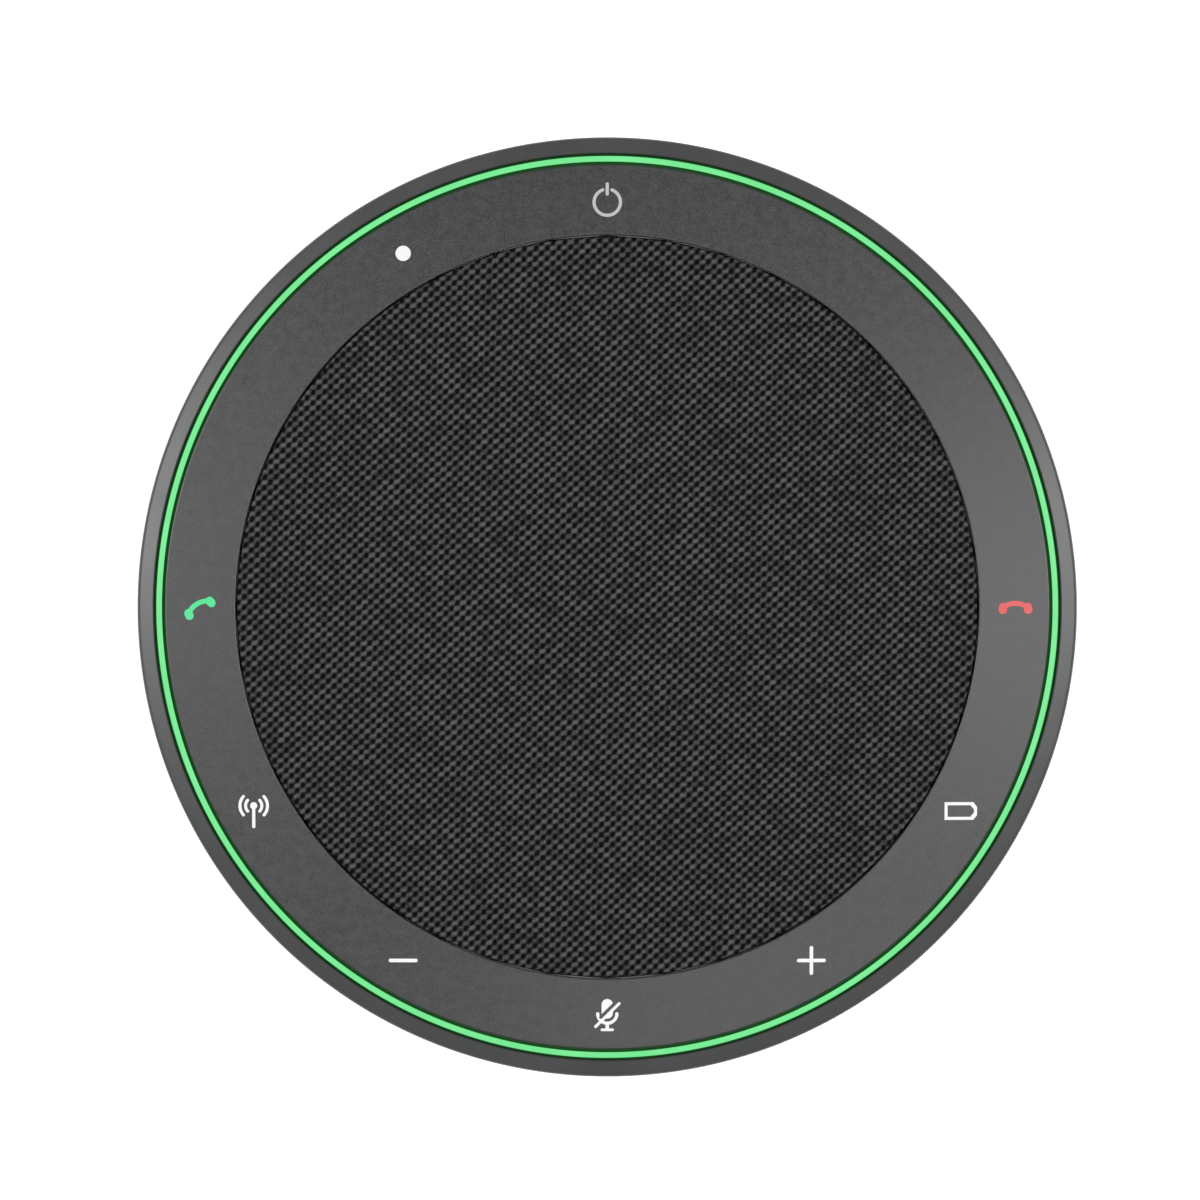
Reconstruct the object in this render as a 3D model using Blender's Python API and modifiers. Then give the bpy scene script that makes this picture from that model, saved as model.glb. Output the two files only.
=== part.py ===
"""A round conference speakerphone: a bowl-shaped housing on a narrower foot with a channel for its lead, a
key panel with nine keys and a light ring, and a 65 mm loudspeaker under a domed fabric grille.

The scene is in metres with +Z up. The origin is the centre of the footprint, on the table, and +Y is the
rear. Sizes below are in millimetres and degrees, and the helpers turn them into metres and radians."""

import math

import bmesh
import bpy
from mathutils import Matrix

MM = 0.001

# Driving dimensions: the outside.
BODY_R = 66.25
BODY_H = 33.8
GAP = 0.3  # left between pieces that touch
WALL = 2.0

# Radii on the top face, from the centre outwards.
FABRIC_R = 52.05
PANEL_IN = 52.35
PANEL_OUT = 62.3
LIGHT_IN = 62.75
LIGHT_OUT = 63.55
RIM_IN = 63.9

# Heights of the top face.
DOME_RISE = 1.6
FABRIC_T = 0.7
PANEL_TOP_IN = 32.4
PANEL_TOP_OUT = 31.7
PANEL_T = 0.8
LIGHT_TOP = 31.3
RIM_TOP = 31.9
RIM_DROP = 0.45  # of the rim's sloping face, from its inner edge to its rounded outer edge
RIM_FOOT = 27.3
RIM_LIP_T = 1.2

# Keys, on one circle at the middle of the panel.
KEY_CIRCLE_R = 57.45
KEY_ANGLES = {
    "hang_up": 0,
    "power": 90,
    "custom": 120,
    "answer": 180,
    "wireless": 210,
    "volume_down": 240,
    "mute": 270,
    "volume_up": 300,
    "battery": 330,
}
KEY_LONG = 11.2  # along the circle
KEY_WIDE = 5.0
KEY_FLANGE = 0.6  # how far the foot of a key reaches past its cap
KEY_TOP = 30.7
KEY_STEP = 29.4
KEY_FOOT = 28.9
SWITCH_R = 2.6
SWITCH_FLANGE_T = 0.25

# The carrier of the keys, from the top down.
FRAME_TOP = 30.3
FRAME_T = 0.6
BOARD_TOP = 27.5
BOARD_T = 1.0
CHASSIS_TOP = 26.2
CHASSIS_STEP = 26.9
CHASSIS_FOOT = 24.9

# Base: bowl, neck and foot.
BOWL_TOP = 27.0
BOWL_FOOT = 11.8
BOWL_FLAT_R = 50.0
BOWL_HOLE_R = 40.2
SPOOL_R = 46.2
SPOOL_IN = 41.8
LEDGE_IN = 38.5
LEDGE_TOP = 10.2
FOOT_R = 52.0
FOOT_TOP = 5.5
FOOT_FLOOR = 3.2
FOOT_UNDER = 1.2
RUBBER_IN = 40.0
RUBBER_OUT = 49.0
RUBBER_T = 2.2
GLAND_Z = 8.65
GLAND_R = 2.3
GLAND_COLLAR_R = 2.75
GLAND_COLLAR_T = 1.7
LEAD_R = 1.6
SCREW_CIRCLE_R = 44.0
SCREW_SHANK_R = 1.0
SCREW_HEAD_R = 2.2
SCREW_HEAD_T = 1.1
SCREW_ANGLES = {"1": 45, "2": 135, "3": 225, "4": 315}

# Electronics: x and y sizes, heights and places.
BOARD_R = 41.2
BOARD_FOOT = 10.5
LEAD_NOTCH = (7.0, 8.0)
CAN_SIZE = (24.0, 17.0)
CAN_PLACE = (-10.0, 4.0)
CAN_H = 1.6
CONNECTOR_SIZE = (7.0, 4.0)
CONNECTOR_Y = 32.0
CONNECTOR_H = 2.0
PAD_SIZE = (50.0, 38.0)
PAD_T = 0.6
BATTERY_SIZE = (54.0, 42.0)
BATTERY_T = 5.0
MICROPHONE_SIZE = (3.0, 4.0)
MICROPHONE_H = 1.1

# Loudspeaker.
DRIVER_R = 32.5
DRIVER_TOP = 28.4
DRIVER_HOLE_R = 29.3
CHAMBER_R = 40.0
CHAMBER_TOP = CHASSIS_FOOT - GAP
CHAMBER_FOOT = 14.3
YOKE_FOOT = 16.2
YOKE_R = 18.5
POLE_R = 8.6
POLE_TOP = 22.4
MAGNET_IN = 12.0
MAGNET_R = 18.0
MAGNET_T = 2.4
TOP_PLATE_IN = 10.9
TOP_PLATE_R = 17.6
STEEL_T = 1.5
BASKET_FLOOR = 22.5
BASKET_IN = 11.6
BASKET_WINDOWS = 6
GASKET_IN = 29.9
GASKET_T = 0.9
COIL_IN = 9.3
COIL_R = 10.2
COIL_FOOT = 19.6
COIL_TOP = 25.0
CONE_IN = 10.6
CONE_FOOT = 25.1
CONE_T = 0.5
CONE_R = 24.0
CAP_R = 9.9
CAP_TOP = 27.7
CAP_T = 0.4
ROLL_R = 1.8
ROLL_SKIN = 0.5
SPIDER_R = 21.6
SPIDER_Z = 24.1
SPIDER_WAVE = 0.25
SPIDER_T = 0.3

# How finely round pieces are cut.
WIDE_STEPS = 40
DRIVER_STEPS = 24
SMALL_STEPS = 16
FINE_STEPS = 12


def clear_scene():
    for old in list(bpy.data.objects):
        bpy.data.objects.remove(old)


def new_collection(name):
    collection = bpy.data.collections.new(name)
    bpy.context.scene.collection.children.link(collection)
    return collection


def finish(name, colour, roughness, metallic=0.0):
    """A plain material: the colour is linear."""
    material = bpy.data.materials.new(name)
    material.use_nodes = True
    shader = material.node_tree.nodes["Principled BSDF"]
    shader.inputs["Base Color"].default_value = (*colour, 1)
    shader.inputs["Roughness"].default_value = roughness
    shader.inputs["Metallic"].default_value = metallic
    return material


def add_part(name, mesh, material):
    part = bpy.data.objects.new(name, mesh)
    PARTS.objects.link(part)
    if material.name not in mesh.materials:
        mesh.materials.append(material)
    return part


def add_cutter(name, shape):
    mesh = bpy.data.meshes.new(name)
    shape.to_mesh(mesh)
    shape.free()
    cutter = bpy.data.objects.new(name, mesh)
    CUTTERS.objects.link(cutter)
    cutter.hide_render = True
    cutter.display_type = "WIRE"
    return cutter


def cut(part, cutter):
    boolean = part.modifiers.new("Cut " + cutter.name, "BOOLEAN")
    boolean.operation = "DIFFERENCE"
    boolean.object = cutter


def turned(name, profile, material, steps=WIDE_STEPS):
    """A turned piece. The profile is (radius, height) points that run out, down the outer side and in.
    It is open where it starts and ends on the axis, and a closed loop otherwise."""
    count = len(profile)
    edges = [(i, i + 1) for i in range(count - 1)]
    if profile[0][0] > 0:
        edges.append((count - 1, 0))
    mesh = bpy.data.meshes.new(name)
    mesh.from_pydata([(r * MM, 0, z * MM) for r, z in profile], edges, [])
    part = add_part(name, mesh, material)
    screw = part.modifiers.new("Turn", "SCREW")
    screw.steps = steps
    screw.render_steps = steps
    screw.use_merge_vertices = True
    screw.merge_threshold = 0.00001
    screw.use_smooth_shade = True
    return part


def ring(name, inner, outer, low, high, material, steps=WIDE_STEPS):
    """A turned ring of rectangular section."""
    return turned(name, [(inner, high), (outer, high), (outer, low), (inner, low)], material, steps)


def arc(middle_r, middle_z, size_r, size_z, start, end, pieces):
    """Points along an arc of an ellipse, with angles from the horizontal."""
    angles = [math.radians(start + (end - start) * i / pieces) for i in range(pieces + 1)]
    return [(middle_r + size_r * math.cos(a), middle_z + size_z * math.sin(a)) for a in angles]


def block_shape(long_x, long_y, low, high, x=0.0, y=0.0):
    """A box standing from low to high, centred on x, y."""
    shape = bmesh.new()
    bmesh.ops.create_cube(shape, size=1)
    size = Matrix.Diagonal((long_x * MM, long_y * MM, (high - low) * MM, 1))
    place = Matrix.Translation((x * MM, y * MM, (low + high) / 2 * MM))
    shape.transform(place @ size)
    return shape


def rod_shape(radius, low, high, sides=SMALL_STEPS):
    """An upright cylinder on the axis."""
    shape = bmesh.new()
    depth = (high - low) * MM
    bmesh.ops.create_cone(
        shape, cap_ends=True, segments=sides, radius1=radius * MM, radius2=radius * MM, depth=depth
    )
    shape.transform(Matrix.Translation((0, 0, (low + high) / 2 * MM)))
    return shape


def block(name, long_x, long_y, low, high, material, rounding=0.3, segments=1, x=0.0, y=0.0):
    """A box with rounded edges."""
    shape = block_shape(long_x, long_y, low, high)
    mesh = bpy.data.meshes.new(name)
    shape.to_mesh(mesh)
    shape.free()
    part = add_part(name, mesh, material)
    part.location = (x * MM, y * MM, 0)
    round_edges(part, rounding, segments)
    return part


def round_edges(part, width, segments=1):
    bevel = part.modifiers.new("Rounding", "BEVEL")
    bevel.width = width * MM
    bevel.segments = segments
    bevel.limit_method = "ANGLE"


def put_on_circle(thing, radius, angle):
    """Moves an object out to a place on a circle, with its own X pointing away from the axis."""
    turn = math.radians(angle)
    thing.location.x = radius * MM * math.cos(turn)
    thing.location.y = radius * MM * math.sin(turn)
    thing.rotation_euler.z = turn


def dome(radius, top, rise, pieces):
    """Points of a shallow dome's surface from the axis to its edge."""
    radii = [radius * i / pieces for i in range(pieces + 1)]
    return [(r, top - rise * (r / radius) ** 2) for r in radii]


def make_foot():
    """The rubber ring, the plate that it is glued to, and the screws that it hides."""
    rubber = finish("Foot rubber", (0.02, 0.02, 0.02), 0.85)
    chamfer = 0.5
    turned(
        "foot_ring",
        [
            (RUBBER_IN, RUBBER_T),
            (RUBBER_OUT, RUBBER_T),
            (RUBBER_OUT, chamfer),
            (RUBBER_OUT - chamfer, 0),
            (RUBBER_IN + chamfer, 0),
            (RUBBER_IN, chamfer),
        ],
        rubber,
    )
    groove_top = RUBBER_T + GAP
    groove_in = RUBBER_IN - GAP
    groove_out = RUBBER_OUT + GAP
    bay_r = 40.6
    edge = 0.8
    plate = turned(
        "foot_plate",
        [
            (0, FOOT_FLOOR),
            (bay_r, FOOT_FLOOR),
            (bay_r, FOOT_TOP),
            (FOOT_R - edge, FOOT_TOP),
            (FOOT_R, FOOT_TOP - edge),
            (FOOT_R, FOOT_UNDER + 1.5 * edge),
            (FOOT_R - 1.5 * edge, FOOT_UNDER),
            (groove_out, FOOT_UNDER),
            (groove_out, groove_top),
            (groove_in, groove_top),
            (groove_in, FOOT_UNDER),
            (0, FOOT_UNDER),
        ],
        finish("Foot plate plastic", (0.025, 0.026, 0.028), 0.6),
    )
    steel = finish("Screw steel", (0.45, 0.45, 0.46), 0.35, 1.0)
    head_low = groove_top + 0.2
    head_high = head_low + SCREW_HEAD_T
    tip = BOWL_FOOT + 1.4
    for name, angle in SCREW_ANGLES.items():
        screw = turned(
            f"base_screw_{name}",
            [
                (0, tip),
                (SCREW_SHANK_R, tip - 0.5),
                (SCREW_SHANK_R, head_high),
                (SCREW_HEAD_R, head_high),
                (SCREW_HEAD_R, head_low + 0.3),
                (SCREW_HEAD_R - 0.3, head_low),
                (0, head_low),
            ],
            steel,
            FINE_STEPS,
        )
        put_on_circle(screw, SCREW_CIRCLE_R, angle)
        recess = rod_shape(SCREW_HEAD_R + GAP, groove_top - 1, head_high + GAP, FINE_STEPS)
        sink = add_cutter(f"head_recess_{name}", recess)
        put_on_circle(sink, SCREW_CIRCLE_R, angle)
        cut(plate, sink)
        bore = rod_shape(SCREW_SHANK_R + GAP, 0, BOWL_FOOT + WALL + 2, FINE_STEPS)
        hole = add_cutter(f"screw_hole_{name}", bore)
        put_on_circle(hole, SCREW_CIRCLE_R, angle)
        cut(plate, hole)


def make_neck():
    """The ring that the lead is wound round, and the grommet in its rear wall."""
    low = FOOT_TOP + GAP
    high = BOWL_FOOT - GAP
    ledge_foot = LEDGE_TOP - 1.2
    spool = turned(
        "cable_spool",
        [
            (SPOOL_IN, high),
            (SPOOL_R, high),
            (SPOOL_R, low),
            (SPOOL_IN, low),
            (SPOOL_IN, ledge_foot),
            (LEDGE_IN, ledge_foot),
            (LEDGE_IN, LEDGE_TOP),
            (SPOOL_IN, LEDGE_TOP),
        ],
        finish("Spool plastic", (0.03, 0.03, 0.032), 0.6),
    )
    for name in SCREW_ANGLES:
        cut(spool, bpy.data.objects[f"screw_hole_{name}"])
    reach = 12
    port = add_cutter("gland_port", rod_shape(GLAND_R + GAP, -reach / 2, reach / 2))
    port.location = (0, SPOOL_IN * MM, GLAND_Z * MM)
    port.rotation_euler.x = math.radians(-90)
    cut(spool, port)
    collar_low = SPOOL_R + GAP
    collar_high = collar_low + GLAND_COLLAR_T
    inner_end = SPOOL_IN - 0.8
    gland = turned(
        "cable_gland",
        [
            (LEAD_R, collar_high),
            (GLAND_R, collar_high),
            (GLAND_COLLAR_R, collar_high - 0.4),
            (GLAND_COLLAR_R, collar_low),
            (GLAND_R, collar_low),
            (GLAND_R, inner_end),
            (LEAD_R, inner_end),
        ],
        finish("Gland rubber", (0.015, 0.015, 0.015), 0.8),
        SMALL_STEPS,
    )
    gland.location.z = GLAND_Z * MM
    gland.rotation_euler.x = math.radians(-90)


def make_bowl():
    """The base shell: a bowl with an elliptical side and a flat floor."""
    outer = arc(BOWL_FLAT_R, BOWL_TOP, BODY_R - BOWL_FLAT_R, BOWL_TOP - BOWL_FOOT, 0, -90, 5)
    floor = BOWL_FOOT + WALL - 0.2
    inner = arc(BOWL_FLAT_R, BOWL_TOP, BODY_R - WALL - BOWL_FLAT_R, BOWL_TOP - floor, -90, 0, 5)
    shell = turned(
        "base_shell",
        [*outer, (BOWL_HOLE_R, BOWL_FOOT), (BOWL_HOLE_R, floor), *inner],
        finish("Housing plastic", (0.05, 0.05, 0.052), 0.5),
    )
    for name in SCREW_ANGLES:
        cut(shell, bpy.data.objects[f"screw_hole_{name}"])


def make_rim():
    """The outer rim, with a sloping face and a lip inside that carries the light ring."""
    edge = 0.75
    skirt_r = BODY_R - WALL - 0.35
    lip_in = PANEL_OUT + 0.1
    lip_top = RIM_FOOT + 0.5
    turned(
        "top_rim",
        [
            (RIM_IN, RIM_TOP),
            *arc(BODY_R - edge, RIM_TOP - RIM_DROP - edge, edge, edge, 80, 0, 3),
            (BODY_R, RIM_FOOT),
            (skirt_r, RIM_FOOT),
            (skirt_r, lip_top - RIM_LIP_T),
            (lip_in, lip_top - RIM_LIP_T),
            (lip_in, lip_top),
            (RIM_IN, lip_top),
        ],
        finish("Rim plastic", (0.07, 0.07, 0.072), 0.45),
    )
    guide = finish("Light guide", (0.2, 0.85, 0.35), 0.3)
    ring("light_ring", LIGHT_IN, LIGHT_OUT, lip_top + GAP, LIGHT_TOP, guide)


def make_key_panel():
    """The flexible panel, the frame with a window for each key, and the ring board under them."""
    turned(
        "key_overlay",
        [
            (PANEL_IN, PANEL_TOP_IN),
            (PANEL_OUT, PANEL_TOP_OUT),
            (PANEL_OUT, PANEL_TOP_OUT - PANEL_T),
            (PANEL_IN, PANEL_TOP_IN - PANEL_T),
        ],
        finish("Panel plastic", (0.06, 0.06, 0.062), 0.5),
    )
    outer = PANEL_OUT - 0.2
    inner = PANEL_IN + 0.1
    skirt = 0.6
    under = FRAME_TOP - FRAME_T
    foot = BOARD_TOP + GAP
    frame = turned(
        "key_frame",
        [
            (inner, FRAME_TOP),
            (outer, FRAME_TOP),
            (outer, foot),
            (outer - skirt, foot),
            (outer - skirt, under),
            (inner + skirt, under),
            (inner + skirt, foot),
            (inner, foot),
        ],
        finish("Key frame plastic", (0.35, 0.35, 0.34), 0.5),
    )
    board = finish("Board laminate", (0.01, 0.09, 0.035), 0.4)
    ring("ring_board", inner, outer, BOARD_TOP - BOARD_T, BOARD_TOP, board)
    for name, angle in KEY_ANGLES.items():
        shape = block_shape(KEY_WIDE + 2 * GAP, KEY_LONG + 2 * GAP, under - 0.4, FRAME_TOP + 0.7)
        window = add_cutter(f"key_window_{name}", shape)
        put_on_circle(window, KEY_CIRCLE_R, angle)
        cut(frame, window)


def key_mesh(material):
    """One key: a foot that its window holds down, and a narrower cap on it."""
    shape = block_shape(KEY_WIDE + 2 * KEY_FLANGE, KEY_LONG + 2 * KEY_FLANGE, KEY_FOOT, KEY_STEP)
    shape.faces.ensure_lookup_table()
    top = max(shape.faces, key=lambda face: face.calc_center_median().z)
    bmesh.ops.inset_region(shape, faces=[top], thickness=KEY_FLANGE * MM, use_even_offset=True)
    raised = bmesh.ops.extrude_face_region(shape, geom=[top])["geom"]
    corners = [part for part in raised if isinstance(part, bmesh.types.BMVert)]
    bmesh.ops.translate(shape, verts=corners, vec=(0, 0, (KEY_TOP - KEY_STEP) * MM))
    if top.is_valid:
        bmesh.ops.delete(shape, geom=[top], context="FACES_ONLY")
    mesh = bpy.data.meshes.new("key")
    shape.to_mesh(mesh)
    shape.free()
    mesh.materials.append(material)
    return mesh


def make_keys():
    """Nine plungers, each on its own upright axis, and the silicone dome that each presses."""
    plastic = finish("Key plastic", (0.6, 0.6, 0.58), 0.45)
    silicone = finish("Switch silicone", (0.55, 0.55, 0.52), 0.6)
    mesh = key_mesh(plastic)
    seat = BOARD_TOP + GAP
    top = KEY_FOOT - GAP
    for name, angle in KEY_ANGLES.items():
        key = add_part(f"key_{name}", mesh, plastic)
        put_on_circle(key, KEY_CIRCLE_R, angle)
        round_edges(key, 0.2)
        switch = turned(
            f"switch_dome_{name}",
            [
                (0, top),
                (SWITCH_R * 0.45, top),
                (SWITCH_R, seat + SWITCH_FLANGE_T),
                (SWITCH_R, seat),
                (0, seat),
            ],
            silicone,
            FINE_STEPS,
        )
        put_on_circle(switch, KEY_CIRCLE_R, angle)


def make_microphones():
    """Four microphones on the ring board, between the keys."""
    metal = finish("Microphone can", (0.7, 0.65, 0.5), 0.3, 1.0)
    seat = BOARD_TOP + GAP
    places = {"rear_right": 45, "rear_left": 135, "front_left": 225, "front_right": 315}
    for name, angle in places.items():
        can = block(f"microphone_{name}", *MICROPHONE_SIZE, seat, seat + MICROPHONE_H, metal)
        put_on_circle(can, KEY_CIRCLE_R, angle)


def make_grille():
    """The fabric, and the domed plate under it with a honeycomb of openings over the loudspeaker."""
    fabric_edge = BODY_H - DOME_RISE
    turned(
        "grille_fabric",
        [
            *dome(FABRIC_R, BODY_H, DOME_RISE, 4),
            *reversed(dome(FABRIC_R, BODY_H - FABRIC_T, DOME_RISE, 4)),
        ],
        finish("Grille fabric", (0.02, 0.02, 0.02), 0.9),
    )
    plate_r = FABRIC_R - GAP
    plate_t = 1.0
    skirt = 1.4
    top = BODY_H - FABRIC_T - GAP
    plate = turned(
        "grille_plate",
        [
            *dome(plate_r, top, DOME_RISE, 3),
            (plate_r, CHASSIS_TOP + GAP),
            (plate_r - skirt, CHASSIS_TOP + GAP),
            *reversed(dome(plate_r - skirt, top - plate_t, DOME_RISE, 3)),
        ],
        finish("Grille plate plastic", (0.02, 0.02, 0.02), 0.6),
    )
    pitch = 9.6
    rings = 2
    height = (fabric_edge - 5, BODY_H + 2)
    openings = bmesh.new()
    for row in range(-rings, rings + 1):
        for column in range(-rings, rings + 1):
            if abs(row + column) > rings:
                continue
            x = pitch * (column + row / 2)
            y = pitch * row * math.sqrt(3) / 2
            place = Matrix.Translation((x * MM, y * MM, sum(height) / 2 * MM))
            bmesh.ops.create_cone(
                openings,
                cap_ends=True,
                segments=6,
                radius1=pitch * 0.45 * MM,
                radius2=pitch * 0.45 * MM,
                depth=(height[1] - height[0]) * MM,
                matrix=place,
            )
    cut(plate, add_cutter("honeycomb", openings))


def make_chassis():
    """The upper chassis, which carries the loudspeaker and the ring board, and the chamber under it."""
    turned(
        "upper_chassis",
        [
            (DRIVER_HOLE_R, CHASSIS_STEP),
            (CHAMBER_R + 1, CHASSIS_STEP),
            (CHAMBER_R + 2, CHASSIS_TOP),
            (PANEL_OUT - 0.3, CHASSIS_TOP),
            (PANEL_OUT - 0.3, CHASSIS_FOOT),
            (DRIVER_HOLE_R, CHASSIS_FOOT),
        ],
        finish("Chassis plastic", (0.03, 0.03, 0.03), 0.6),
    )
    wall = 1.6
    floor = CHAMBER_FOOT + 1.5
    turned(
        "speaker_chamber",
        [
            (0, floor),
            (CHAMBER_R - wall, floor),
            (CHAMBER_R - wall, CHAMBER_TOP),
            (CHAMBER_R, CHAMBER_TOP),
            (CHAMBER_R, CHAMBER_FOOT + 1),
            (CHAMBER_R - 1, CHAMBER_FOOT),
            (0, CHAMBER_FOOT),
        ],
        finish("Chamber plastic", (0.04, 0.04, 0.04), 0.6),
    )


def make_motor():
    """The fixed magnetic parts of the loudspeaker."""
    steel = finish("Motor steel", (0.5, 0.5, 0.52), 0.35, 1.0)
    turned(
        "speaker_yoke",
        [
            (0, POLE_TOP),
            (POLE_R, POLE_TOP),
            (POLE_R, YOKE_FOOT + STEEL_T),
            (YOKE_R, YOKE_FOOT + STEEL_T),
            (YOKE_R, YOKE_FOOT),
            (0, YOKE_FOOT),
        ],
        steel,
        DRIVER_STEPS,
    )
    magnet_low = YOKE_FOOT + STEEL_T + GAP
    magnet_high = magnet_low + MAGNET_T
    ferrite = finish("Magnet ferrite", (0.05, 0.05, 0.055), 0.5)
    ring("speaker_magnet", MAGNET_IN, MAGNET_R, magnet_low, magnet_high, ferrite, DRIVER_STEPS)
    plate_low = magnet_high + GAP
    plate_high = plate_low + STEEL_T
    ring("speaker_top_plate", TOP_PLATE_IN, TOP_PLATE_R, plate_low, plate_high, steel, DRIVER_STEPS)


def make_basket():
    """The pressed basket with six windows, and the foam gasket on its flange."""
    floor_high = BASKET_FLOOR + 0.7
    flange_foot = CHASSIS_STEP + GAP
    flange_in = 28.0
    side_foot = 22.6
    basket = turned(
        "speaker_basket",
        [
            (flange_in, DRIVER_TOP),
            (DRIVER_R, DRIVER_TOP),
            (DRIVER_R, flange_foot),
            (flange_in + 0.8, flange_foot),
            (side_foot, BASKET_FLOOR),
            (BASKET_IN, BASKET_FLOOR),
            (BASKET_IN, floor_high),
            (side_foot - 0.4, floor_high),
            (flange_in, flange_foot + 0.3),
        ],
        finish("Basket steel", (0.08, 0.08, 0.085), 0.4, 1.0),
        DRIVER_STEPS,
    )
    window_wide = 5.6
    window_long = 13.0
    middle_r = (flange_in + side_foot) / 2 + 0.5
    for index in range(BASKET_WINDOWS):
        shape = block_shape(window_wide, window_long, BASKET_FLOOR - 0.5, flange_foot - 0.4)
        window = add_cutter(f"basket_window_{index}", shape)
        put_on_circle(window, middle_r, 360 / BASKET_WINDOWS * (index + 0.5))
        cut(basket, window)
    foam = finish("Gasket foam", (0.03, 0.03, 0.03), 0.95)
    seat = DRIVER_TOP + GAP
    ring("speaker_gasket", GASKET_IN, DRIVER_R, seat, seat + GASKET_T, foam, DRIVER_STEPS)


def make_cone():
    """The moving parts of the loudspeaker, and the two rings that hold them and flex."""
    copper = finish("Coil copper", (0.6, 0.25, 0.12), 0.4, 1.0)
    ring("voice_coil", COIL_IN, COIL_R, COIL_FOOT, COIL_TOP, copper, DRIVER_STEPS)
    paper = finish("Cone paper", (0.03, 0.03, 0.032), 0.8)
    edge_z = DRIVER_TOP + GAP
    turned(
        "speaker_cone",
        [
            (CONE_IN, CONE_FOOT + CONE_T),
            (CONE_R, edge_z + CONE_T),
            (CONE_R, edge_z),
            (CONE_IN, CONE_FOOT),
        ],
        paper,
        DRIVER_STEPS,
    )
    cap_rise = CAP_TOP - COIL_TOP - GAP - CAP_T
    turned(
        "dust_cap",
        [*dome(CAP_R, CAP_TOP, cap_rise, 4), *reversed(dome(CAP_R, CAP_TOP - CAP_T, cap_rise, 4))],
        paper,
        DRIVER_STEPS,
    )
    rubber = finish("Surround rubber", (0.015, 0.015, 0.015), 0.7)
    inner = CONE_R + GAP
    roll_middle = inner + ROLL_SKIN + ROLL_R
    outer = roll_middle + ROLL_R + 1.2
    turned(
        "cone_surround",
        [
            (inner, edge_z + ROLL_SKIN),
            *arc(roll_middle, edge_z + 0.1, ROLL_R, ROLL_R, 165, 15, 5),
            (outer, edge_z + ROLL_SKIN),
            (outer, edge_z),
            *arc(roll_middle, edge_z, ROLL_R - ROLL_SKIN, ROLL_R - ROLL_SKIN, 0, 180, 5),
            (inner, edge_z),
        ],
        rubber,
        DRIVER_STEPS,
    )
    cloth = finish("Spider cloth", (0.45, 0.3, 0.12), 0.9)
    waves = 2
    samples = 4 * waves
    line = []
    for index in range(samples + 1):
        share = index / samples
        height = SPIDER_Z + SPIDER_WAVE * math.sin(2 * math.pi * waves * share)
        line.append((CONE_IN + (SPIDER_R - CONE_IN) * share, height))
    under = [(r, z - SPIDER_T) for r, z in reversed(line)]
    turned("spider", line + under, cloth, DRIVER_STEPS)


def make_electronics():
    """Main board with its can and connector, the flat battery and its pad."""
    board_top = BOARD_FOOT + BOARD_T
    board = turned(
        "main_board",
        [(0, board_top), (BOARD_R, board_top), (BOARD_R, BOARD_FOOT), (0, BOARD_FOOT)],
        finish("Main board laminate", (0.01, 0.09, 0.035), 0.4),
    )
    shape = block_shape(*LEAD_NOTCH, BOARD_FOOT - 1, board_top + 1, y=SPOOL_IN - 1)
    cut(board, add_cutter("lead_notch", shape))
    seat = board_top + GAP
    tin = finish("Shield tin", (0.6, 0.6, 0.58), 0.3, 1.0)
    block("shield_can", *CAN_SIZE, seat, seat + CAN_H, tin, x=CAN_PLACE[0], y=CAN_PLACE[1])
    nylon = finish("Connector nylon", (0.75, 0.72, 0.62), 0.5)
    block("lead_connector", *CONNECTOR_SIZE, seat, seat + CONNECTOR_H, nylon, y=CONNECTOR_Y)
    foam = finish("Battery foam", (0.04, 0.04, 0.04), 0.95)
    pad_low = FOOT_FLOOR + GAP
    pad_high = pad_low + PAD_T
    block("battery_pad", *PAD_SIZE, pad_low, pad_high, foam, rounding=0.15)
    wrap = finish("Battery wrap", (0.06, 0.1, 0.22), 0.4)
    low = pad_high + GAP
    block("battery_pack", *BATTERY_SIZE, low, low + BATTERY_T, wrap, rounding=1.6, segments=2)


clear_scene()
PARTS = new_collection("Conference speakerphone")
CUTTERS = new_collection("Cutters")
make_foot()
make_neck()
make_bowl()
make_rim()
make_key_panel()
make_keys()
make_microphones()
make_grille()
make_chassis()
make_motor()
make_basket()
make_cone()
make_electronics()
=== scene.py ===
"""The looks of a round conference speakerphone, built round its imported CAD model. Units are metres, +Z is up
and +Y the rear. Each section makes one piece or a group of like pieces, in the order of assembly."""

import math

import bpy
import numpy as np
from mathutils import Matrix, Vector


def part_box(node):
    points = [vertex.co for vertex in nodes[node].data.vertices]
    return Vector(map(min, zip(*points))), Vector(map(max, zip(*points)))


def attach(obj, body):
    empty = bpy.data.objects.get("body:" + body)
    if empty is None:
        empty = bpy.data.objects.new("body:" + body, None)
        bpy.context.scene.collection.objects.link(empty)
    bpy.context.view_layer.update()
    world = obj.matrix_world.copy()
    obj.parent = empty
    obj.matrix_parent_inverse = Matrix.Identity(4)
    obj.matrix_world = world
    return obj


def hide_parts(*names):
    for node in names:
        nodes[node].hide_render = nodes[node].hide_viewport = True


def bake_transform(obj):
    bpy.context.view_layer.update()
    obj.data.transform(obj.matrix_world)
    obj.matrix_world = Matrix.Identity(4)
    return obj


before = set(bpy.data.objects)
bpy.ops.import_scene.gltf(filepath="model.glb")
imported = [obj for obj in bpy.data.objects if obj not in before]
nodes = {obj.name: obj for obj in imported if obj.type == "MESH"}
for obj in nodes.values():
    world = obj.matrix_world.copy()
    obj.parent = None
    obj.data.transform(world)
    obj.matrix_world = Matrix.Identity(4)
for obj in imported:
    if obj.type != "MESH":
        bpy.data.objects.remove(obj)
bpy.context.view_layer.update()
MM = 0.001

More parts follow.
